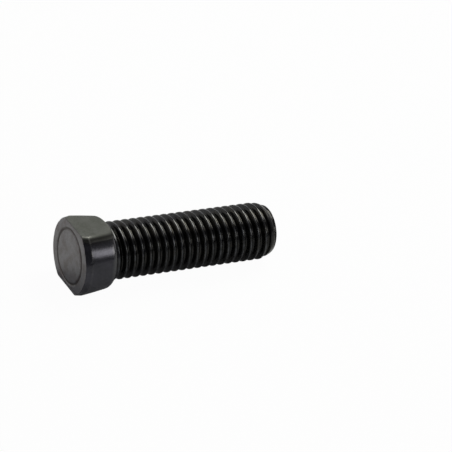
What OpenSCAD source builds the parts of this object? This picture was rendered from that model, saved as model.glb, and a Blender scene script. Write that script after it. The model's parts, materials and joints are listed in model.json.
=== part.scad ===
// Plow bolt with a conical head, two flats and a thread up to the head, lying at rest.
// All sizes are in millimetres and all angles in degrees.
// Plus X runs from the head to the point, plus Z is up and the floor is at zero.

/* [Head] */
// Largest diameter of the head, before the flats are cut
head_d = 16; // [15.8:0.1:17]
// Height of the head from the end face to its underside
head_h = 7.6; // [7:0.1:9]
// Height of the band between the end face and the largest diameter
band_h = 1.3; // [0.8:0.1:1.6]
// Slope of the band from the axis
band_draft = 10; // [2:0.5:12]
// Slope of the conical side from the axis
side_taper = 7.3; // [4:0.1:8]
// Radius of the rounded edge at the back of the head
rear_r = 1.4; // [0.8:0.1:2]
// Width of the bevel around the end face
rim_bevel = 0.15; // [0.05:0.05:0.2]

/* [Flats] */
// Distance between the two flats at the end face
flat_gap = 13.4; // [13:0.1:14.2]
// Slope of each flat from the axis
flat_draft = 1.3; // [0:0.1:2]
// Width of the bevel along the front edge of each flat
flat_bevel = 0.2; // [0.2:0.05:0.4]
// Set-back of the broken corners between each flat and the band
band_set = 0.15; // [0.1:0.05:0.3]
// Set-back of the broken corners at the front of the conical side
corner_set = 0.15; // [0.1:0.05:0.3]
// Set-back of the broken corners at the back of the conical side
rear_set = 0.6; // [0.2:0.05:0.8]
// Tilt of the broken corners from the flat
corner_tilt = 15; // [10:1:20]

/* [Ring in the end face] */
// Diameter of the ring along the middle of its groove
ring_d = 11.2; // [8:0.1:12]
// Width of the groove
ring_w = 0.6; // [0.3:0.05:1]
// Depth of the groove
ring_depth = 0.2; // [0.05:0.05:0.4]

/* [Thread] */
// Diameter over the crests, rolled a little under the nominal 12
crest_d = 11.8; // [11.7:0.01:11.97]
// Diameter at the bottom of the thread
root_d = 9.85; // [9.5:0.05:10.2]
// Distance from one turn to the next
pitch = 1.75; // [1.5:0.05:2]
// Width of the flat on the crest
crest_w = 0.33; // [0.1:0.01:0.45]
// Width of the flat at the root
root_w = 0.3; // [0.1:0.01:0.45]
// Distance of the first turn's crest from the end face, on the underside of the lying bolt
thread_from = 5.15; // [4:0.05:6]
// Straight steps in one turn of the thread
turn_steps = 36; // [24:4:40]

/* [Point] */
// Length of the whole bolt
bolt_l = 45; // [42:0.5:60]
// Length of the gentle taper that leads into the point
lead_l = 2.2; // [1.5:0.1:3]
// Diameter at the end of the gentle taper
lead_d = 10.1; // [9.4:0.1:11]
// Length of the steep bevel at the very end
point_l = 0.8; // [0.4:0.1:1.4]
// Diameter of the flat end of the point
point_d = 7.2; // [5:0.1:9]

/* [Hidden] */
// Smoothness of the round surfaces
$fn = 96;
// Overlap of cutters past the faces they cut
past = 1;
// Largest radius of the head
head_r = head_d / 2;
// Radius of the band at the end face, before its edge is bevelled
face_r = head_r - band_h * tan(band_draft);
// Radius of the groove's round bottom
ring_r = (ring_w * ring_w / 4 + ring_depth * ring_depth) / (2 * ring_depth);
// Centre height of the rounded back edge
rear_z = head_h - rear_r;
// Centre radius of the rounded back edge
rear_x = head_r - (rear_r + (rear_z - band_h) * sin(side_taper)) / cos(side_taper);
// Axial place at which the conical side runs into the rounded back edge
side_z = rear_z + rear_r * sin(side_taper);
// Radius at that place
side_x = rear_x + rear_r * cos(side_taper);
// Distance of each flat from the axis where the conical side starts
flat_front = flat_gap / 2 - band_h * tan(flat_draft);
// Distance of each flat from the axis where the conical side ends
flat_rear = flat_gap / 2 - side_z * tan(flat_draft);
// Half width of a flat at the end face
width_face = sqrt(max(face_r * face_r - flat_gap * flat_gap / 4, past));
// Half width of a flat where the conical side starts
width_front = sqrt(head_r * head_r - flat_front * flat_front);
// Half width of a flat where the conical side ends
width_rear = sqrt(max(side_x * side_x - flat_rear * flat_rear, past));
// Slope at which a flat's two corners spread along the band
corner_spread = atan((width_front - width_face) / band_h);
// Slope at which a flat's two corners then run towards each other along the conical side
corner_narrow = atan((width_front - corner_set - width_rear + rear_set) / (side_z - band_h));
// Axial length of one thread flank
flank_l = (pitch - crest_w - root_w) / 2;
// Radii of the four stations across one turn of the thread
station_r = [crest_d / 2, crest_d / 2, root_d / 2, root_d / 2];
// Axial places of the four stations, measured from the middle of the crest
station_z = [-crest_w / 2, crest_w / 2, crest_w / 2 + flank_l, crest_w / 2 + flank_l + root_w];
// Number of stations across one turn
stations = len(station_r);
// Whole turns, the last of them past the end of the point
turns = ceil((bolt_l - thread_from) / pitch) + 1;
// Steps along the thread
thread_steps = turns * turn_steps;
// Axial place at which the gentle taper meets the crests
lead_from = bolt_l - point_l - lead_l;
// Growth of the gentle taper's radius for each unit of length
lead_slope = (crest_d - lead_d) / 2 / lead_l;
// Number of turns from the first crest on the underside to the last one that reaches full height
full_turns = floor((lead_from + crest_w / 2 - thread_from) / pitch);
// Axial place at which the last full crest touches the floor
crest_rest = min(thread_from + full_turns * pitch + crest_w / 2, lead_from);
// Axial place of the flat's front edge behind its bevel
flat_rest = flat_bevel;
// Distance of that front edge from the axis
flat_drop = flat_gap / 2 - flat_rest * tan(flat_draft);
// Dip of the axis towards the point when the bolt lies on a flat's edge and on a crest
rest_dip = atan((flat_drop - crest_d / 2) / (crest_rest - flat_rest));
// Height of the axis over the floor, at the end face
rest_z = flat_drop * cos(rest_dip) + flat_rest * sin(rest_dip);
// Rearmost reach of the lying bolt
rest_x0 = -(flat_gap / 2 - flat_bevel) * sin(rest_dip);
// Foremost reach of the lying bolt
rest_x1 = bolt_l * cos(rest_dip) + point_d / 2 * sin(rest_dip);

// Half section of the head, with the rounded edge at its back
module head_section() {
    polygon([
        [0, 0],
        [face_r - rim_bevel, 0],
        [face_r + rim_bevel * tan(band_draft), rim_bevel],
        [head_r, band_h],
        [side_x, side_z],
        [rear_x, head_h],
        [0, head_h]
    ]);
    translate([rear_x, rear_z])
        circle(r = rear_r);
}

// Block that cuts away all that lies outside one plane
module cut_block() {
    translate([0, -head_d, -head_d])
        cube([head_d, 2 * head_d, 2 * head_d]);
}

// Cutter for one broken corner, which passes through a place on the flat and leans along it
module corner_cutter(side, half_width, leaning) {
    translate([0, side * half_width, band_h])
        rotate([side * leaning, 0, 0])
            rotate([0, 0, side * corner_tilt])
                cut_block();
}

// One flat's cutter, with its broken corners and the bevel along its front edge
module flat_cutter() {
    rotate([0, -flat_draft, 0]) {
        cut_block();
        for (side = [-1, 1]) {
            corner_cutter(side, width_front - band_set, -corner_spread);
            corner_cutter(side, width_front - corner_set, corner_narrow);
        }
    }
    translate([-flat_bevel, 0, 0])
        rotate([0, 45, 0])
            cut_block();
}

// Head with its two flats and the ring in its end face
module head() {
    difference() {
        rotate_extrude()
            head_section();
        for (turned = [0, 180])
            rotate([0, 0, turned])
                translate([flat_gap / 2, 0, 0])
                    flat_cutter();
        rotate_extrude()
            translate([ring_d / 2, ring_depth - ring_r])
                circle(r = ring_r);
    }
}

// Place of one thread point, by its step along the helix and its station
function thread_point(i, j) =
    let (turned = 360 * i / turn_steps)
    [
        station_r[j] * cos(turned),
        station_r[j] * sin(turned),
        thread_from + pitch * i / turn_steps + station_z[j]
    ];

// Place of a thread point in the list of points, where the last station is the next turn's first
function thread_id(i, j) =
    j == stations ? thread_id(i + turn_steps, 0) :
    j == 0 ? i : thread_steps + turn_steps + 1 + (j - 1) * (thread_steps + 1) + i;

// Solid rod with the helical thread, longer than needed at both ends
module thread_rod() {
    first_row = [for (i = [0 : thread_steps + turn_steps]) thread_point(i, 0)];
    other_rows = [for (j = [1 : stations - 1]) for (i = [0 : thread_steps]) thread_point(i, j)];
    start_id = len(first_row) + len(other_rows);
    end_id = start_id + 1;
    start_hub = [0, 0, thread_from];
    end_hub = [0, 0, thread_from + pitch * (turns + 1)];
    sheet = [
        for (i = [0 : thread_steps - 1])
            for (j = [0 : stations - 1])
                [thread_id(i, j), thread_id(i, j + 1), thread_id(i + 1, j + 1), thread_id(i + 1, j)]
    ];
    start_fan = [for (i = [0 : turn_steps - 1]) [start_id, i, i + 1]];
    start_step = [for (j = [0 : stations - 1]) [start_id, thread_id(0, j + 1), thread_id(0, j)]];
    end_fan = [for (i = [thread_steps : thread_steps + turn_steps - 1]) [end_id, i + 1, i]];
    end_step = [
        for (j = [0 : stations - 1])
            [end_id, thread_id(thread_steps, j), thread_id(thread_steps, j + 1)]
    ];
    polyhedron(
        points = concat(first_row, other_rows, [start_hub, end_hub]),
        faces = concat(sheet, start_fan, start_step, end_fan, end_step),
        convexity = 10
    );
}

// Round envelope that gives the thread its tapered and bevelled point
module point_envelope() {
    rotate_extrude()
        polygon([
            [0, 0],
            [crest_d / 2 + past * lead_slope, 0],
            [crest_d / 2 + past * lead_slope, lead_from - past],
            [lead_d / 2, lead_from + lead_l],
            [point_d / 2, bolt_l],
            [0, bolt_l]
        ]);
}

// Threaded shank, cut to length with its point
module shank() {
    intersection() {
        thread_rod();
        point_envelope();
    }
}

// Whole bolt in one piece, laid down at rest
module plow_bolt() {
    color([0.13, 0.13, 0.14])
        translate([-(rest_x0 + rest_x1) / 2, 0, rest_z])
            rotate([0, rest_dip, 0])
                rotate([0, 90, 0])
                    union() {
                        head();
                        shank();
                    }
}

plow_bolt();
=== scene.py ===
# %% [markdown]
# # A plow bolt in blackened steel
# A plow bolt holds a wearing blade to a plow. Its tapered head sinks into the blade, two flats keep
# it from turning, and a coarse thread pulls it tight from behind. The exact solid is already made.
# This lesson gives it the finer skin that a close look needs: a truly round helix, rounded edges, a
# thread that gets shallower at the head, and a black finish rubbed by handling.

# %% Load the imported solid and find the bolt's own directions
import json
import math

import bmesh
import bpy
import numpy as np
from mathutils import Matrix, Vector


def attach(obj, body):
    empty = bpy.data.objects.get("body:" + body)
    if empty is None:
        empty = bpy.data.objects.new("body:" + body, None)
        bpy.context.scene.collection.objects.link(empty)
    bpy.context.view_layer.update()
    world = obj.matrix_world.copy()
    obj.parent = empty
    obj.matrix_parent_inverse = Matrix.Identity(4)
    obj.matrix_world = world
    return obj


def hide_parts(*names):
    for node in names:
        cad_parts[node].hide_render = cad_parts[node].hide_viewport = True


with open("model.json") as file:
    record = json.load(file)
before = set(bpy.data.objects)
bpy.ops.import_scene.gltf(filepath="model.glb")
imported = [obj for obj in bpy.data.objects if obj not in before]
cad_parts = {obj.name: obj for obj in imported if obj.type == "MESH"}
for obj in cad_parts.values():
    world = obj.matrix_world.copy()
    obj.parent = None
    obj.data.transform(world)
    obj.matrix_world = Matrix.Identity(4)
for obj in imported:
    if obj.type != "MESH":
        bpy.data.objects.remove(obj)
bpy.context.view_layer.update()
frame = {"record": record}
mounts = {mount["name"]: mount for mount in frame["record"]["mounts"]}

# %% [markdown]
# The bolt lies on the floor with a slight dip, so its axis isn't quite the X axis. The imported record
# says where the end face is and which way it looks. From that we get three directions: along the
# bolt, up out of the upper flat, and across. Every later shape is written in bolt measures, which
# are millimetres along the axis, millimetres away from it and a turn around it, because that is how
# a lathe hand or a thread roller would give them.

# %% Place points by bolt measures
MM = 0.001
end_centre = np.array(mounts["end_face"]["pos_m"])
along_dir = -np.array(mounts["end_face"]["axis"])
upper_normal = np.array(mounts["upper_flat"]["axis"])
up_dir = upper_normal - along_dir * (upper_normal @ along_dir)
up_dir /= np.linalg.norm(up_dir)
across_dir = np.cross(up_dir, along_dir)
bolt_length = np.linalg.norm(np.array(mounts["thread"]["pos_m"]) - end_centre) / MM


def bolt_points(along, away, turned):
    """Points of the frame in metres. The turn starts at the lower flat and goes towards plus Y."""
    down = -np.cos(turned) * away
    across = np.sin(turned) * away
    offset = along[..., None] * along_dir + down[..., None] * up_dir + across[..., None] * across_dir
    return end_centre + MM * offset


print("bolt length %.2f mm, axis %s" % (bolt_length, along_dir.round(4)))

# %% [markdown]
# Real edges are never perfectly sharp. Wherever two surfaces meet, we take the smaller of the two
# radii with a soft minimum, which rounds the meeting line over a small width. One short formula then
# does the work of many hand-placed bevels, and it also works where the edge is a curve.

# %% Soft minimum and smooth step
def soft_min(a, b, width):
    """Smaller of a and b, rounded where they are closer than width."""
    near = np.clip(width - np.abs(a - b), 0, None) / width
    return np.minimum(a, b) - near * near * width / 4


def soft_max(a, b, width):
    """Larger of a and b, rounded in the same way."""
    return -soft_min(-a, -b, width)


def smooth_step(low, high, value):
    """Share from 0 to 1 that eases in and out while value goes from low to high."""
    part = np.clip((value - low) / (high - low), 0, 1)
    return part * part * (3 - 2 * part)


print("soft minimum of 1 and 1 over 0.2:", soft_min(1.0, 1.0, 0.2))

# %% [markdown]
# ## The thread
# The thread was rolled, not cut: two dies pressed the grooves in and squeezed the metal up into the
# crests. So crests and roots are both a little rounded, and the last groove before the head gets
# shallower and leaves a broad, low crest. A Screw modifier could sweep one tooth along a helix, but
# it can't change the tooth on the way. We therefore compute a sheet of points whose rows follow the
# helix, so the edges of each crest stay clean lines at any density. Sizes are in millimetres.

# %% Thread sizes
pitch = 1.75
crest_radius = mounts["thread"]["dims"]["r_mm"]
root_radius = 5.02
crest_half = 0.17
root_half = 0.23
flank_length = pitch / 2 - crest_half - root_half
crest_softness, root_softness = 0.18, 0.3
first_crest = 5.15
head_height = bolt_length - mounts["thread"]["dims"]["length_mm"]
runout_length = 2.6
runout_inside = 0.6
groove_depth = crest_radius - root_radius
print("thread %.2f mm over the crests, grooves %.2f mm deep" % (2 * crest_radius, groove_depth))

# %% Point sizes and the radius of the threaded shank
lead_length, lead_radius = 2.2, 5.05
point_length, point_radius = 0.8, 3.6
point_softness = 0.16
lead_end = bolt_length - point_length
lead_start = lead_end - lead_length


def point_envelope(along):
    """Radius that the tapered and bevelled point allows."""
    places = [lead_start - lead_length, lead_start, lead_end, bolt_length]
    outer = 2 * crest_radius - lead_radius
    return np.interp(along, places, [outer, crest_radius, lead_radius, point_radius])


def shank_radius(along, turned):
    """Radius of the rolled thread at a place along and around the bolt."""
    offset = (along - first_crest) / pitch - turned / (2 * math.pi)
    from_crest = np.abs(offset - np.round(offset)) * pitch
    slope = (from_crest - crest_half) / flank_length
    depth = soft_min(soft_max(slope, 0, crest_softness), 1, root_softness)
    groove = smooth_step(0, runout_length, along - head_height + runout_inside)
    radius = crest_radius - groove_depth * depth * groove
    return soft_min(radius, point_envelope(along), point_softness)


print("radius at the tip %.2f mm" % shank_radius(np.array([bolt_length]), np.array([0.0]))[0])

# %% [markdown]
# The rows of the sheet aren't evenly spaced. A flank is straight, so it needs few rows, while the
# rounded edges of crest and root need several. The places below go from the middle of a crest to
# the middle of a root, and their mirror image gives the other half of the turn.

# %% Rows of the helical sheet
crest_edge, root_edge = crest_half, crest_half + flank_length
crest_steps, root_steps = (-0.9, -0.5, -0.1, 0.35, 1), (-1, -0.5, 0, 0.5, 1)
half_places = [0.0] + [crest_edge + crest_softness * flank_length * k for k in crest_steps]
half_places += [(crest_edge + root_edge) / 2]
half_places += [root_edge + root_softness * flank_length * k for k in root_steps] + [pitch / 2]
turn_places = np.array(half_places + [pitch - place for place in half_places[-2:0:-1]])
pitch_rows = len(turn_places)
print("rows in one turn:", pitch_rows)

# %% Mesh from points and faces
merge_distance = 1e-7


def mesh_object(name, points, faces):
    """New closed mesh object, with points that fall together merged."""
    mesh = bpy.data.meshes.new(name)
    build = bmesh.new()
    verts = [build.verts.new(point) for point in points]
    for face in faces:
        build.faces.new([verts[i] for i in face])
    bmesh.ops.remove_doubles(build, verts=build.verts, dist=merge_distance)
    bmesh.ops.dissolve_degenerate(build, edges=build.edges, dist=merge_distance)
    bmesh.ops.recalc_face_normals(build, faces=build.faces)
    loose = sum(1 for edge in build.edges if not edge.is_manifold)
    build.to_mesh(mesh)
    build.free()
    made = bpy.data.objects.new(name, mesh)
    bpy.context.collection.objects.link(made)
    print("%s: %d faces, %d open edges" % (name, len(mesh.polygons), loose))
    return made


print("points closer than %g mm become one" % (merge_distance / MM))

# %% [markdown]
# The sheet starts a little inside the head, so that the two overlap where they will be joined. At
# both ends its rows are drawn together to the axis at a fixed rate, which closes the mesh.

# %% Build the helical sheet
turn_columns = 96
shank_overlap, close_rate = 0.8, 6
shank_start = head_height - shank_overlap


def build_shank():
    """Helical sheet from inside the head to the point, drawn together to the axis at both ends."""
    before = math.ceil((first_crest - shank_start + root_radius / close_rate) / pitch) + 1
    after = math.ceil((bolt_length + point_radius / close_rate - first_crest) / pitch) + 1
    starts = [first_crest + pitch * turn for turn in range(-before, after)]
    places = np.concatenate([start + turn_places for start in starts])
    rows = len(places)
    column, place = np.meshgrid(np.arange(turn_columns), places, indexing="ij")
    turned = 2 * math.pi * column / turn_columns
    reach = place + pitch * column / turn_columns
    along = np.clip(reach, shank_start, bolt_length)
    beyond = np.clip(shank_start - reach, 0, None) + np.clip(reach - bolt_length, 0, None)
    away = np.clip(shank_radius(along, turned) - close_rate * beyond, 0, None)
    points = bolt_points(along, away, turned).reshape(-1, 3)
    faces = []
    for i in range(turn_columns):
        wraps = i == turn_columns - 1
        for j in range(rows - 1 - (pitch_rows if wraps else 0)):
            here = i * rows + j
            beside = j + pitch_rows if wraps else (i + 1) * rows + j
            faces.append((here, beside, beside + 1, here + 1))
    return mesh_object("shank", points, faces)


shank = build_shank()

# %% [markdown]
# ## The head
# The head was forged in a die of two halves that met where it is widest. From there a short band
# leans in towards the end face and a longer side tapers towards the shank, so that both halves let
# go of it. The end face has a shallow ring, the back edge is rounded, and two flats were pressed at
# the same time. A profile turned around the axis gives all of it, when the radius is softly held
# under the distance of the flats. The corners beside the flats are crisp in front and wash out
# towards the back, so the softness grows along the bolt.

# %% Head sizes
head_radius, band_height, band_draft = 8.0, 1.3, math.radians(10)
side_taper, side_bulge = math.radians(7.3), 0.035
rear_round, rim_round, ridge_softness = 1.4, 0.22, 0.045
flat_half_gap, flat_draft, flat_round = 6.7, math.radians(1.3), 0.24
corner_front, corner_rear = 0.14, 0.65
ring_radius, ring_half_width, ring_depth = 5.6, 0.45, 0.2
face_radius = head_radius - band_height * math.tan(band_draft)
rear_place = head_height - rear_round
rear_drop = rear_round + (rear_place - band_height) * math.sin(side_taper)
rear_away = head_radius - rear_drop / math.cos(side_taper)
side_end = rear_place + rear_round * math.sin(side_taper)
print("head %.1f mm high, underside flat from radius %.2f mm inwards" % (head_height, rear_away))


# %% Profile of the head
def side_radius(along):
    """Radius of the band and of the tapered side, with a soft ridge between them."""
    band = face_radius + along * math.tan(band_draft)
    part = np.clip((along - band_height) / (side_end - band_height), 0, 1)
    bulge = 4 * side_bulge * part * (1 - part)
    side = head_radius - (along - band_height) * math.tan(side_taper) + bulge
    return soft_min(band, side, ridge_softness)


def flat_distance(along):
    """Distance of a flat from the axis, with its front edge rounded."""
    missing = np.clip(flat_round - along, 0, None)
    rounded = np.sqrt(flat_round**2 - missing**2)
    return flat_half_gap - along * math.tan(flat_draft) - flat_round + rounded


def ring_groove(away):
    """Depth of the shallow ring at a distance from the axis."""
    across = np.clip(np.abs(away - ring_radius) / ring_half_width, 0, 1)
    return ring_depth * (1 - across * across) ** 2


print("radius at the ridge %.2f mm" % side_radius(np.array(band_height)))

# %% Rows of the head, from the middle of the end face to the underside
inner_radii, under_radii = (0.0, 1.2, 2.4, 3.6, 4.6, 5.0), (5.0, 3.0, 0.0)
ring_rows, rim_rows, band_rows, ridge_rows, side_rows, rear_rows = 15, 8, 5, 9, 18, 20
rim_after, ridge_before, ridge_reach, ridge_after = 0.06, 0.28, 0.2, 0.3
flat_clearance = 1.0


def head_rows():
    """Each row as (place along the bolt, radius of the round, distance of the flats)."""
    rows = [(0.0, radius, radius + flat_clearance) for radius in inner_radii]
    for radius in np.linspace(ring_radius - ring_half_width, ring_radius + ring_half_width, ring_rows):
        rows.append((float(ring_groove(radius)), radius, radius + flat_clearance))
    rim_centre = face_radius + rim_round * math.tan(band_draft) - rim_round / math.cos(band_draft)
    for part in np.linspace(0, math.pi / 2 - band_draft, rim_rows):
        along = rim_round * (1 - math.cos(part))
        rows.append((along, rim_centre + rim_round * math.sin(part), float(flat_distance(along))))
    places = np.concatenate([
        np.linspace(rim_round + rim_after, band_height - ridge_before, band_rows),
        np.linspace(band_height - ridge_reach, band_height + ridge_reach, ridge_rows),
        np.linspace(band_height + ridge_after, side_end, side_rows),
    ])
    for along in places:
        rows.append((along, float(side_radius(along)), float(flat_distance(along))))
    for part in np.linspace(side_taper, math.pi / 2, rear_rows)[1:]:
        along = rear_place + rear_round * math.sin(part)
        rows.append((along, rear_away + rear_round * math.cos(part), float(flat_distance(along))))
    for radius in under_radii:
        rows.append((head_height, radius, radius + flat_clearance))
    return np.array(rows)


print("head rows:", len(head_rows()))

# %% [markdown]
# A bolt that was tipped into a bin with others has small dents on its rim. Each one below is a turn
# in degrees, a place along the bolt, a width and a depth in millimetres.

# %% Dents and columns of the head
dents = [
    (236, 0.15, 0.3, 0.07),
    (262, 0.1, 0.25, 0.05),
    (288, 0.15, 0.35, 0.05),
    (222, 1.2, 0.3, 0.04),
    (251, 1.3, 0.25, 0.05),
    (95, 0.15, 0.3, 0.06),
    (128, 0.1, 0.4, 0.05),
    (71, 1.25, 0.3, 0.05),
]
close_limit, close_step, spread_step = 37, 0.6, 1.5


def head_columns():
    """Turns around the axis, close together near the two flats."""
    close = np.radians(np.arange(-close_limit, close_limit, close_step))
    spread = np.radians(np.arange(close_limit, 180 - close_limit, spread_step))
    return np.concatenate([close, spread, close + math.pi, spread + math.pi])


print("%d dents, %d columns" % (len(dents), len(head_columns())))

# %% Build the head
least_cosine = 0.05


def build_head():
    """Turned profile of the head, held softly under the two flats."""
    rows, turned = head_rows(), head_columns()
    along, round_radius, flat_gap = (rows[:, k, None] for k in range(3))
    softness = np.interp(along, [0, band_height, side_end], [corner_front, corner_front, corner_rear])
    flat_radius = flat_gap / np.clip(np.abs(np.cos(turned))[None], least_cosine, None)
    away = np.clip(soft_min(round_radius + 0 * flat_radius, flat_radius, softness), 0, None)
    for turn, place, width, depth in dents:
        beside = head_radius * np.angle(np.exp(1j * (turned[None] - math.radians(turn))))
        near_edge = (away > flat_half_gap) & (along < side_end)
        hollow = np.exp(-((beside / width) ** 2) - ((along - place) / width) ** 2)
        away = away - near_edge * depth * hollow
    points = bolt_points(along + 0 * away, away, turned[None] + 0 * away).reshape(-1, 3)
    count = len(turned)
    faces = []
    for j in range(len(rows) - 1):
        row, below = j * count, (j + 1) * count
        for i in range(count):
            after = (i + 1) % count
            faces.append((row + i, row + after, below + after, below + i))
    return mesh_object("head", points, faces)


head = build_head()

# %% [markdown]
# ## One forging
# The real bolt is one piece, so head and shank are joined with an exact Boolean union. What was
# hidden inside is gone afterwards, and one closed skin is left. Faces that meet at a larger angle
# than the limit below keep a sharp edge in the shading.

# %% Join head and shank
union = head.modifiers.new("join", "BOOLEAN")
union.operation = "UNION"
union.solver = "EXACT"
union.object = shank
bpy.context.view_layer.update()
joined = bpy.data.meshes.new_from_object(head.evaluated_get(bpy.context.evaluated_depsgraph_get()))
joined.name = "plow_bolt_skin"
for part in (head, shank):
    old = part.data
    bpy.data.objects.remove(part)
    bpy.data.meshes.remove(old)
bolt = bpy.data.objects.new("plow_bolt_skin", joined)
bpy.context.collection.objects.link(bolt)
sharp_angle = math.radians(48)
joined.shade_smooth()
joined.set_sharp_from_angle(angle=sharp_angle)
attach(bolt, "root")
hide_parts("plow_bolt")
print("joined skin: %d vertices, %d faces" % (len(joined.vertices), len(joined.polygons)))

# %% [markdown]
# ## The black finish
# Black oxide is a thin layer grown on the steel in a hot salt bath and sealed with oil. Where it is
# smooth and oily it mirrors only a few hundredths of the light, where it is dull up to a quarter,
# and it looks deep grey. A metal shader with a dark colour behaves like that. The layer is mottled,
# dulls on flat forged faces, stays smooth in the thread and is rubbed thin on edges and crests.
# These effects serve several materials, so each is built once as a node group with named sockets.

# %% Small helpers for shader trees
def add_node(tree, kind, **settings):
    """New node with the given settings."""
    made = tree.nodes.new(kind)
    for name, value in settings.items():
        setattr(made, name, value)
    return made


def feed(tree, socket, value):
    """Links a socket to another one, or sets its value."""
    if isinstance(value, bpy.types.NodeSocket):
        tree.links.new(value, socket)
    else:
        socket.default_value = value


def calc(tree, operation, *values, clamp=False):
    """Math node on sockets or numbers."""
    made = add_node(tree, "ShaderNodeMath", operation=operation, use_clamp=clamp)
    for socket, value in zip(made.inputs, values):
        feed(tree, socket, value)
    return made.outputs[0]


def ramp(tree, value, low, high, start=0.0, stop=1.0):
    """Smooth change from start to stop while value goes from low to high."""
    made = add_node(tree, "ShaderNodeMapRange", interpolation_type="SMOOTHSTEP")
    names = ("Value", "From Min", "From Max", "To Min", "To Max")
    for name, given in zip(names, (value, low, high, start, stop)):
        feed(tree, made.inputs[name], given)
    return made.outputs["Result"]


print("number helpers ready")

# %% Helpers for colours, noise and groups
first_colour, second_colour, mixed_colour = 6, 7, 2


def mix_colour(tree, share, first, second):
    """Colour between first and second, through the colour sockets of a Mix node."""
    made = add_node(tree, "ShaderNodeMix", data_type="RGBA")
    feed(tree, made.inputs["Factor"], share)
    feed(tree, made.inputs[first_colour], first)
    feed(tree, made.inputs[second_colour], second)
    return made.outputs[mixed_colour]


def noise(tree, vector, scale, detail, roughness):
    """Noise value between 0 and 1, mostly near the middle."""
    made = add_node(tree, "ShaderNodeTexNoise")
    feed(tree, made.inputs["Vector"], vector)
    for name, given in (("Scale", scale), ("Detail", detail), ("Roughness", roughness)):
        feed(tree, made.inputs[name], given)
    return made.outputs["Fac"]


def new_group(name, inputs, outputs):
    """Shader node group with named sockets. Returns the tree, its inputs and its outputs."""
    tree = bpy.data.node_groups.new(name, "ShaderNodeTree")
    for socket, kind, value in inputs:
        made = tree.interface.new_socket(socket, in_out="INPUT", socket_type=kind)
        if value is not None:
            made.default_value = value
    for socket, kind in outputs:
        tree.interface.new_socket(socket, in_out="OUTPUT", socket_type=kind)
    return tree, tree.nodes.new("NodeGroupInput").outputs, tree.nodes.new("NodeGroupOutput").inputs


print("shader helpers ready")

# %% [markdown]
# The finish changes along the bolt and around it, so the shaders need the same bolt measures as the
# shapes. A UV map could carry them, but it would need seams around the round parts. Here the object
# coordinates are measured along the bolt's own three directions, which needs no map.

# %% Group that gives the bolt's own measures to the shaders
def build_place_group():
    """Millimetres along the axis, away from it and out of the flats, and a vector for textures."""
    sockets = [(name, "NodeSocketFloat") for name in ("Along", "Away", "Up")]
    sockets.append(("Place", "NodeSocketVector"))
    tree, _, out = new_group("Bolt measures", [], sockets)
    where = add_node(tree, "ShaderNodeTexCoord").outputs["Object"]
    from_end = add_node(tree, "ShaderNodeVectorMath", operation="SUBTRACT")
    feed(tree, from_end.inputs[0], where)
    feed(tree, from_end.inputs[1], tuple(end_centre))

    def measure(axis):
        """Millimetres from the middle of the end face, along one direction."""
        made = add_node(tree, "ShaderNodeVectorMath", operation="DOT_PRODUCT")
        feed(tree, made.inputs[0], from_end.outputs[0])
        feed(tree, made.inputs[1], tuple(axis / MM))
        return made.outputs["Value"]

    along, up, across = measure(along_dir), measure(up_dir), measure(across_dir)
    squares = [calc(tree, "MULTIPLY", side, side) for side in (up, across)]
    away = calc(tree, "SQRT", calc(tree, "ADD", *squares))
    place = add_node(tree, "ShaderNodeCombineXYZ")
    for socket, value in zip(place.inputs, (along, across, up)):
        feed(tree, socket, value)
    from_middle = calc(tree, "ABSOLUTE", up)
    results = {"Along": along, "Away": away, "Up": from_middle, "Place": place.outputs[0]}
    for name, value in results.items():
        feed(tree, out[name], value)
    return tree


measures_group = build_place_group()
print("group:", measures_group.name)

# %% [markdown]
# Oxide grows unevenly, in broad clouds with fine specks between them. A painted map could show
# that, but it blurs up close. Two noise textures, a broad one and a fine one, stay sharp there.

# %% Group for the mottled oxide
fine_scale, fine_share, wander_middle = 3.2, 0.6, 0.8
cloud_low, cloud_high = 0.38, 0.68
speck_low, speck_high, speck_dark, speck_light = 0.25, 0.8, 0.82, 1.2


def build_mottle_group():
    """Colour and roughness of the oxide. Clouds take the tint as a factor, and specks vary both."""
    inputs = [
        ("Place", "NodeSocketVector", None),
        ("Oxide", "NodeSocketColor", (0.045, 0.045, 0.046, 1)),
        ("Tint", "NodeSocketColor", (1.1, 1.0, 0.85, 1)),
        ("Cloud", "NodeSocketFloat", 0.25),
        ("Dullness", "NodeSocketFloat", 0.32),
        ("Spread", "NodeSocketFloat", 0.1),
    ]
    outputs = [("Color", "NodeSocketColor"), ("Roughness", "NodeSocketFloat")]
    tree, given, out = new_group("Mottled oxide", inputs, outputs)
    broad = noise(tree, given["Place"], given["Cloud"], detail=4.0, roughness=0.6)
    fine = noise(tree, given["Place"], fine_scale, detail=3.0, roughness=0.65)
    share = ramp(tree, broad, cloud_low, cloud_high)
    tinted_oxide = add_node(tree, "ShaderNodeVectorMath", operation="MULTIPLY")
    feed(tree, tinted_oxide.inputs[0], given["Oxide"])
    feed(tree, tinted_oxide.inputs[1], given["Tint"])
    clouded = mix_colour(tree, share, given["Oxide"], tinted_oxide.outputs[0])
    level = ramp(tree, fine, speck_low, speck_high, speck_dark, speck_light)
    scaled = add_node(tree, "ShaderNodeVectorMath", operation="SCALE")
    feed(tree, scaled.inputs[0], clouded)
    feed(tree, scaled.inputs["Scale"], level)
    feed(tree, out["Color"], scaled.outputs[0])
    both = calc(tree, "ADD", broad, calc(tree, "MULTIPLY", fine, fine_share))
    wander = calc(tree, "SUBTRACT", both, wander_middle)
    rough = calc(tree, "MULTIPLY_ADD", wander, given["Spread"], given["Dullness"])
    feed(tree, out["Roughness"], rough)
    return tree


mottle_group = build_mottle_group()
print("group:", mottle_group.name)

# %% [markdown]
# Handling rubs the finish thin on corners and crests. Blender can look for edges in the mesh, but
# what it finds depends on how dense the mesh is. Here each surface's distance is known from a
# formula. A rubbed corner is where two distances are small at once, broken up by noise.

# %% Group for rubbed edges
patch_scale, patch_full = 0.9, 0.75


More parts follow.
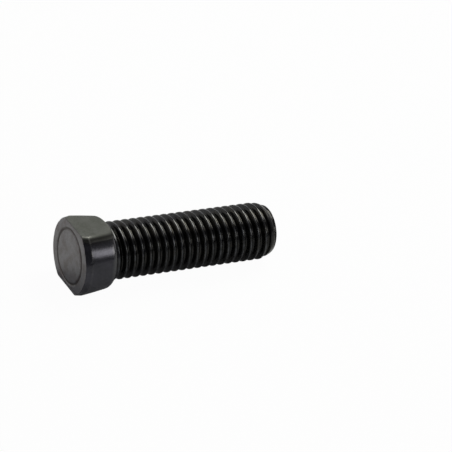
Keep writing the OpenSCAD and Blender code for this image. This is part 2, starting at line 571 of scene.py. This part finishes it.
def build_rub_group():
    """Mask that is 1 where two surfaces are both close, broken up as handling leaves it."""
    inputs = [
        ("Place", "NodeSocketVector", None),
        ("First Gap", "NodeSocketFloat", 0.0),
        ("Second Gap", "NodeSocketFloat", 0.0),
        ("Width", "NodeSocketFloat", 0.2),
        ("Patchiness", "NodeSocketFloat", 0.5),
    ]
    tree, given, out = new_group("Rubbed edges", inputs, [("Mask", "NodeSocketFloat")])
    first = ramp(tree, given["First Gap"], 0.0, given["Width"], 1.0, 0.0)
    second = ramp(tree, given["Second Gap"], 0.0, given["Width"], 1.0, 0.0)
    patch_noise = noise(tree, given["Place"], patch_scale, detail=4.0, roughness=0.65)
    patches = ramp(tree, patch_noise, given["Patchiness"], patch_full)
    both = calc(tree, "MULTIPLY", first, second)
    feed(tree, out["Mask"], calc(tree, "MULTIPLY", both, patches, clamp=True))
    return tree


rub_group = build_rub_group()
print("group:", rub_group.name)

# %% [markdown]
# A forged skin is a little wavy, grainy and pitted. All of it is only hundredths of a millimetre
# deep, far finer than the mesh, so a bump in the shading carries it.

# %% Group for the skin's relief
wave_scale, grain_scale, pit_scale = 0.55, 9.0, 2.1
pit_low, pit_high = 0.26, 0.4


def build_relief_group():
    """Height of forged waviness, scale pits and fine grain."""
    inputs = [
        ("Place", "NodeSocketVector", None),
        ("Waves", "NodeSocketFloat", 0.3),
        ("Grain", "NodeSocketFloat", 0.3),
        ("Pits", "NodeSocketFloat", 0.3),
    ]
    tree, given, out = new_group("Forged relief", inputs, [("Height", "NodeSocketFloat")])
    wave_noise = noise(tree, given["Place"], wave_scale, detail=2.0, roughness=0.5)
    grain_noise = noise(tree, given["Place"], grain_scale, detail=2.0, roughness=0.6)
    pit_noise = noise(tree, given["Place"], pit_scale, detail=3.0, roughness=0.6)
    waves = calc(tree, "MULTIPLY", wave_noise, given["Waves"])
    grain = calc(tree, "MULTIPLY", grain_noise, given["Grain"])
    pits = calc(tree, "MULTIPLY", ramp(tree, pit_noise, pit_low, pit_high, 1.0, 0.0), given["Pits"])
    feed(tree, out["Height"], calc(tree, "SUBTRACT", calc(tree, "ADD", waves, grain), pits))
    return tree


relief_group = build_relief_group()
print("group:", relief_group.name)

# %% [markdown]
# All three finishes are the same dark metal with other values, so one function builds them. Where
# the rub mask is 1, the oxide gives way to bare metal and the roughness to a burnished one.

# %% Shared start of each oxide material
burnish, metal_share = 0.25, 0.92


def use_group(tree, group, **values):
    """Group node with its inputs fed by name, where an underscore stands for a space."""
    made = add_node(tree, "ShaderNodeGroup", node_tree=group)
    for name, value in values.items():
        feed(tree, made.inputs[name.replace("_", " ")], value)
    return made.outputs


def oxide_material(name, tint, cloud, spread, relief, bare, zones):
    """Dark metal with mottling, relief and rubbed places.

    zones gives its oxide colour, dullness and rub mask. relief holds waves, grain, pits and depth.
    """
    made = bpy.data.materials.new(name)
    made.use_nodes = True
    tree = made.node_tree
    shader = tree.nodes["Principled BSDF"]
    measures = use_group(tree, measures_group)
    oxide, dullness, mask = zones(tree, measures)
    look = {"Oxide": oxide, "Tint": tint, "Cloud": cloud, "Dullness": dullness, "Spread": spread}
    mottle = use_group(tree, mottle_group, Place=measures["Place"], **look)
    feed(tree, shader.inputs["Base Color"], mix_colour(tree, mask, mottle["Color"], bare))
    excess = calc(tree, "SUBTRACT", mottle["Roughness"], burnish)
    rubbed_off = calc(tree, "MULTIPLY", mask, excess)
    feed(tree, shader.inputs["Roughness"], calc(tree, "SUBTRACT", mottle["Roughness"], rubbed_off))
    shader.inputs["Metallic"].default_value = metal_share
    waves, grain, pits, depth = relief
    height = use_group(tree, relief_group, Place=measures["Place"], Waves=waves, Grain=grain, Pits=pits)
    bump = add_node(tree, "ShaderNodeBump")
    bump.inputs["Strength"].default_value = 1.0
    bump.inputs["Distance"].default_value = depth * MM
    feed(tree, bump.inputs["Height"], height["Height"])
    feed(tree, shader.inputs["Normal"], bump.outputs["Normal"])
    return made


print("material builder ready")

# %% [markdown]
# The tapered side is smooth, so it mirrors softly. The flats and the end face are matt and look
# paler, because they scatter the light of the whole room. The thread is the smoothest and darkest,
# burnished by the rolling dies. On the head one value, the distance from the flats, blends two of
# these, and paints a dark strip of shade just below each flat. Each rub below is a width in
# millimetres and a patchiness.

# %% Gaps to the head's surfaces, and a rub between two of them
def head_gaps(tree, measures):
    """Millimetres below the round side of the head and below its nearer flat."""
    band_at = calc(tree, "MULTIPLY_ADD", measures["Along"], math.tan(band_draft), face_radius)
    side_start = head_radius + band_height * math.tan(side_taper)
    side_at = calc(tree, "MULTIPLY_ADD", measures["Along"], -math.tan(side_taper), side_start)
    round_gap = calc(tree, "SUBTRACT", calc(tree, "MINIMUM", band_at, side_at), measures["Away"])
    flat_at = calc(tree, "MULTIPLY_ADD", measures["Along"], -math.tan(flat_draft), flat_half_gap)
    return round_gap, calc(tree, "SUBTRACT", flat_at, measures["Up"])


def rub(tree, measures, first_gap, second_gap, width, patchiness):
    """Mask of one rubbed edge, where both gaps are small."""
    gaps = {"First_Gap": first_gap, "Second_Gap": second_gap}
    wear = {"Width": width, "Patchiness": patchiness}
    return use_group(tree, rub_group, Place=measures["Place"], **gaps, **wear)["Mask"]


print("gaps and rubs ready")

# %% Rubbed edges of the head
corner_rub, rim_rub, ridge_rub, front_rub = (0.24, 0.1), (0.3, 0.45), (0.3, 0.2), (0.32, 0.1)
ridge_shift, ridge_strength, front_strength = 0.1, 0.35, 0.7
corner_end, corner_strong, corner_weak = 2.6, 0.9, 0.2
rear_from, rear_to, rear_strength = 5.8, 6.8, 0.42
rear_clear, rear_full = 0.6, 1.6


def head_rubs(tree, measures, round_gap, flat_gap):
    """Mask of the rubbed corners, back edge, ridge, rim and front edges of the flats."""
    along = measures["Along"]
    corner = rub(tree, measures, round_gap, flat_gap, *corner_rub)
    rim = rub(tree, measures, along, round_gap, *rim_rub)
    ridge_gap = calc(tree, "ABSOLUTE", calc(tree, "SUBTRACT", along, band_height + ridge_shift))
    ridge = rub(tree, measures, ridge_gap, round_gap, *ridge_rub)
    front = rub(tree, measures, along, flat_gap, *front_rub)
    fading = ramp(tree, along, band_height, corner_end, corner_strong, corner_weak)
    rear = ramp(tree, along, rear_from, rear_to, 0.0, rear_strength)
    rubbed = calc(tree, "MULTIPLY", corner, fading)
    others = [
        calc(tree, "MULTIPLY", rear, ramp(tree, flat_gap, rear_clear, rear_full)),
        calc(tree, "MULTIPLY", ridge, ridge_strength),
        rim,
        calc(tree, "MULTIPLY", front, front_strength),
    ]
    for mask in others:
        rubbed = calc(tree, "MAXIMUM", rubbed, mask)
    return rubbed


print("rubbed edges ready")

# %% Finish of the head
flat_oxide, side_oxide = (0.138, 0.144, 0.14, 1), (0.062, 0.061, 0.073, 1)
# Painted shade: a near black colour that darkens a strip just below each flat.
painted_strip_shade = (0.02, 0.02, 0.02, 1)
flat_dullness, side_dullness = 0.8, 0.22
flat_fade, matt_from, matt_to = 0.43, 0.2, 1.1
shade_strip_from, shade_strip_to = 0.6, 1.5


def head_zones(tree, measures):
    """Dull flats, painted shade in a dark strip below them, a smoother side and rubbed edges."""
    round_gap, flat_gap = head_gaps(tree, measures)
    flatness = ramp(tree, flat_gap, 0.0, flat_fade, 1.0, 0.0)
    matt = ramp(tree, flat_gap, matt_from, matt_to, 1.0, 0.0)
    dullness = ramp(tree, matt, 0.0, 1.0, side_dullness, flat_dullness)
    # Painted shade: the strip below each flat fades from the near black colour into the side's oxide.
    beside = mix_colour(tree, ramp(tree, flat_gap, shade_strip_from, shade_strip_to), painted_strip_shade, side_oxide)
    oxide = mix_colour(tree, flatness, beside, flat_oxide)
    return oxide, dullness, head_rubs(tree, measures, round_gap, flat_gap)


print("finish of the head ready")

# %% Finishes of the end face and of the thread
face_oxide, thread_oxide = (0.237, 0.232, 0.242, 1), (0.0225, 0.0227, 0.0235, 1)
# Painted shade: a dark brownish colour that darkens the shallow ring groove of the end face.
painted_ring_shade = (0.05, 0.042, 0.036, 1)
face_dullness, thread_dullness = 0.42, 0.2
lip_rub, lip_strength = (0.14, 0.5), 0.6
ring_shade_from, ring_shade_to, ring_shade_strength = 0.08, 0.5, 0.82
crest_rub, tip_rub, thread_strength = (0.07, 0.25), (0.7, 0.42), 0.6


def face_zones(tree, measures):
    """Even dull face, with painted shade darkening the ring, which is rubbed on its outer lip."""
    lip_place = ring_radius + ring_half_width
    lip_gap = calc(tree, "ABSOLUTE", calc(tree, "SUBTRACT", measures["Away"], lip_place))
    lip = rub(tree, measures, lip_gap, measures["Along"], *lip_rub)
    from_ring = calc(tree, "ABSOLUTE", calc(tree, "SUBTRACT", measures["Away"], ring_radius))
    # Painted shade: the face turns dark near the middle of the ring and fades back to its own colour.
    ring_shade_share = ramp(tree, from_ring, ring_shade_from, ring_shade_to, ring_shade_strength, 0.0)
    oxide = mix_colour(tree, ring_shade_share, face_oxide, painted_ring_shade)
    return oxide, face_dullness, calc(tree, "MULTIPLY", lip, lip_strength)


def thread_zones(tree, measures):
    """Smooth black thread, with rubbed crests and a scraped bevel at the point."""
    crest_gap = calc(tree, "SUBTRACT", crest_radius, measures["Away"])
    crest = rub(tree, measures, crest_gap, 0.0, *crest_rub)
    tip_gap = calc(tree, "ABSOLUTE", calc(tree, "SUBTRACT", measures["Along"], lead_end))
    tip = rub(tree, measures, tip_gap, 0.0, *tip_rub)
    rubbed = calc(tree, "MULTIPLY", calc(tree, "MAXIMUM", crest, tip), thread_strength)
    return thread_oxide, thread_dullness, rubbed


print("zones ready")

# %% [markdown]
# Each finish has a tint for its clouds, the scale of the clouds with the spread of the roughness,
# and a relief of waves, grain and pits with its depth in millimetres. What shows where the thread is
# rubbed is darker than on the head, because oil stays on the crests.

# %% The three finishes
bare_steel, dark_steel = (0.15, 0.15, 0.15, 1), (0.112, 0.117, 0.13, 1)
head_tint, face_tint = (0.87, 0.88, 0.85, 1), (0.8, 0.74, 0.72, 1)
thread_tint = (1.35, 1.28, 1.12, 1)
head_clouds, face_clouds, thread_clouds = (0.35, 0.1), (0.5, 0.16), (0.4, 0.08)
head_relief, face_relief = (0.5, 0.12, 0.2, 0.02), (0.7, 0.2, 0.5, 0.03)
thread_relief = (0.4, 0.12, 0.25, 0.015)
finishes = [
    oxide_material("oxide_head", head_tint, *head_clouds, head_relief, bare_steel, head_zones),
    oxide_material("oxide_face", face_tint, *face_clouds, face_relief, bare_steel, face_zones),
    oxide_material("oxide_thread", thread_tint, *thread_clouds, thread_relief, dark_steel, thread_zones),
]
for finish in finishes:
    joined.materials.append(finish)
print("finishes:", [finish.name for finish in finishes])

# %% [markdown]
# Each face of the skin takes one finish, by its place. Past the underside of the head it is thread.
# Close to the end plane, and looking away from the point, it is the end face. All else is head.

# %% Give each face its finish
head_index, face_index, thread_index = range(len(finishes))
seam_margin, face_depth, face_lean = 0.02, 0.3, -0.7
face_middle = np.empty(3 * len(joined.polygons))
joined.polygons.foreach_get("center", face_middle)
from_end = (face_middle.reshape(-1, 3) - end_centre) / MM
along_place = from_end @ along_dir
zone = np.where(along_place > head_height + seam_margin, thread_index, head_index)
facing = np.empty(3 * len(joined.polygons))
joined.polygons.foreach_get("normal", facing)
looks_back = facing.reshape(-1, 3) @ along_dir < face_lean
zone[(along_place < face_depth) & looks_back] = face_index
joined.polygons.foreach_set("material_index", zone.astype(np.int32))
print("faces by finish:", np.bincount(zone))

# %% [markdown]
# ## A white sweep
# The bolt lies on seamless white paper that curves up far behind it, as in a small product studio.
# For the camera the paper is lifted almost to plain white, so the picture has a clean background.
# For mirror rays the wall is lifted too and the floor hardly at all, so the metal mirrors a bright
# wall, and a floor that is as dark as its shade makes it.

# %% Paper sweep
camera_azimuth = -121.323
paper_reach, paper_back, paper_curve, paper_height = 3.0, 1.1, 0.25, 0.8
curve_steps = 13
floor_slot, wall_slot = 0, 1


def build_paper():
    """Floor that runs away from the camera and then curves up to a wall."""
    outline = [(-paper_reach, 0.0), (paper_back - paper_curve, 0.0)]
    for part in np.linspace(0, math.pi / 2, curve_steps)[1:]:
        reach = paper_back - paper_curve + paper_curve * math.sin(part)
        outline.append((reach, paper_curve * (1 - math.cos(part))))
    outline.append((paper_back, paper_height))
    sides = (-paper_reach, paper_reach)
    points = [(reach, side, height) for reach, height in outline for side in sides]
    faces = [(2 * i, 2 * i + 2, 2 * i + 3, 2 * i + 1) for i in range(len(outline) - 1)]
    mesh = bpy.data.meshes.new("paper")
    mesh.from_pydata(points, [], faces)
    mesh.shade_smooth()
    slots = [floor_slot] + [wall_slot] * (len(faces) - 1)
    mesh.polygons.foreach_set("material_index", slots)
    made = bpy.data.objects.new("paper", mesh)
    made.rotation_euler.z = math.radians(camera_azimuth + 180)
    bpy.context.collection.objects.link(made)
    return made


paper = build_paper()
print("paper sweep:", len(paper.data.polygons), "faces")

# %% White paper
paper_colour = (0.645, 0.66, 0.695, 1)
camera_lift, floor_lift, wall_lift = 0.97, 0.05, 0.75


def paper_material(name, mirror_lift):
    """White paper, lifted to plain white by one share for the camera and by another for mirror rays."""
    made = bpy.data.materials.new(name)
    made.use_nodes = True
    tree = made.node_tree
    tree.nodes.remove(tree.nodes["Principled BSDF"])
    plain = add_node(tree, "ShaderNodeBsdfDiffuse")
    plain.inputs["Color"].default_value = paper_colour
    lift = add_node(tree, "ShaderNodeEmission")
    lift.inputs["Strength"].default_value = 1.0
    path = add_node(tree, "ShaderNodeLightPath").outputs
    mirrored = calc(tree, "MAXIMUM", path["Is Glossy Ray"], path["Is Transmission Ray"])
    seen_lift = calc(tree, "MULTIPLY", path["Is Camera Ray"], camera_lift)
    share = calc(tree, "MAXIMUM", seen_lift, calc(tree, "MULTIPLY", mirrored, mirror_lift))
    mix = add_node(tree, "ShaderNodeMixShader")
    feed(tree, mix.inputs[0], share)
    tree.links.new(plain.outputs[0], mix.inputs[1])
    tree.links.new(lift.outputs[0], mix.inputs[2])
    tree.links.new(mix.outputs[0], tree.nodes["Material Output"].inputs["Surface"])
    return made


paper.data.materials.append(paper_material("paper_floor", floor_lift))
paper.data.materials.append(paper_material("paper_wall", wall_lift))
print("paper finishes:", [finish.name for finish in paper.data.materials])

# %% [markdown]
# ## Light
# A large warm soft box stands high behind the bolt on the right. It lights the flats and the paper,
# and each turn of the thread mirrors it as a glint shaped like a leaf. A small box overhead fills
# the crests. A low one to the right of the camera is mirrored as the bright band along the tapered
# side, and a dim card on the left lifts the end face. The room is dim, so what mirrors it falls to
# near black. Angles are in degrees and lengths in metres. The renderer counts a lamp's watts as four
# times its area times the brightness of its face.

# %% Soft boxes
watts_for_radiance = 4


def direction(azimuth, elevation):
    """Unit vector that points from the bolt towards an azimuth and an elevation."""
    turn, rise = math.radians(azimuth), math.radians(elevation)
    return Vector((math.cos(turn) * math.cos(rise), math.sin(turn) * math.cos(rise), math.sin(rise)))


def soft_box(name, azimuth, elevation, distance, width, height, radiance, tint):
    """Rectangular lamp that looks at the bolt. Its power follows from how bright its face should be."""
    lamp = bpy.data.lights.new(name, "AREA")
    lamp.shape = "RECTANGLE"
    lamp.size, lamp.size_y = width, height
    lamp.energy = watts_for_radiance * width * height * radiance
    lamp.color = tint
    made = bpy.data.objects.new(name, lamp)
    way = direction(azimuth, elevation)
    made.location = distance * way
    made.rotation_euler = way.to_track_quat("Z", "Y").to_euler()
    bpy.context.collection.objects.link(made)
    print("%s at %s, %.2f W" % (name, [round(v, 2) for v in made.location], lamp.energy))


soft_box("main_box", 25, 49, 0.9, 0.54, 0.54, radiance=5.4, tint=(1.0, 0.98, 0.85))
soft_box("overhead_box", -16, 61, 0.8, 0.24, 0.2, radiance=3.0, tint=(1.0, 0.98, 0.9))
soft_box("side_box", -43, 22, 0.7, 0.28, 0.2, radiance=2.8, tint=(1.0, 0.99, 0.93))
soft_box("left_card", 152, 26, 0.9, 0.9, 0.5, radiance=0.8, tint=(1.0, 0.99, 0.94))

# %% Dim room
room_colour = (0.12, 0.12, 0.13, 1)
room = bpy.data.worlds.new("dim_room")
room.use_nodes = True
room.node_tree.nodes["Background"].inputs["Color"].default_value = room_colour
room.node_tree.nodes["Background"].inputs["Strength"].default_value = 1.0
bpy.context.scene.world = room
print("room colour:", room_colour[:3])

# %% [markdown]
# ## Camera
# The view was fitted to the outline of the bolt: a long lens from the head's side, a third of the
# way up, and rolled a little, because the bolt climbs to the right in the picture. The aim point is
# given in millimetres in the frame.

# %% Camera
camera_elevation, camera_roll, field_of_view = 29.278, 7.786, 11.545
camera_aim = np.array([10.338, -3.419, 10.376]) * MM
camera_distance = 450.84 * MM


def build_camera():
    """Camera that looks at the aim point, turned about its own axis by the roll."""
    lens = bpy.data.cameras.new("camera")
    lens.sensor_fit = "HORIZONTAL"
    lens.angle = math.radians(field_of_view)
    lens.clip_start = 0.01
    back = direction(camera_azimuth, camera_elevation)
    made = bpy.data.objects.new("camera", lens)
    made.location = Vector(camera_aim) + camera_distance * back
    upright = back.to_track_quat("Z", "Y").to_matrix()
    made.rotation_euler = (upright @ Matrix.Rotation(math.radians(camera_roll), 3, "Z")).to_euler()
    bpy.context.collection.objects.link(made)
    bpy.context.scene.camera = made
    return made


camera = build_camera()
bpy.context.scene.view_settings.view_transform = "Standard"
print("camera at", [round(v, 3) for v in camera.location])

# %% [markdown]
# The skin must stay inside the CAD model's box.

# %% Update the scene
bpy.context.view_layer.update()
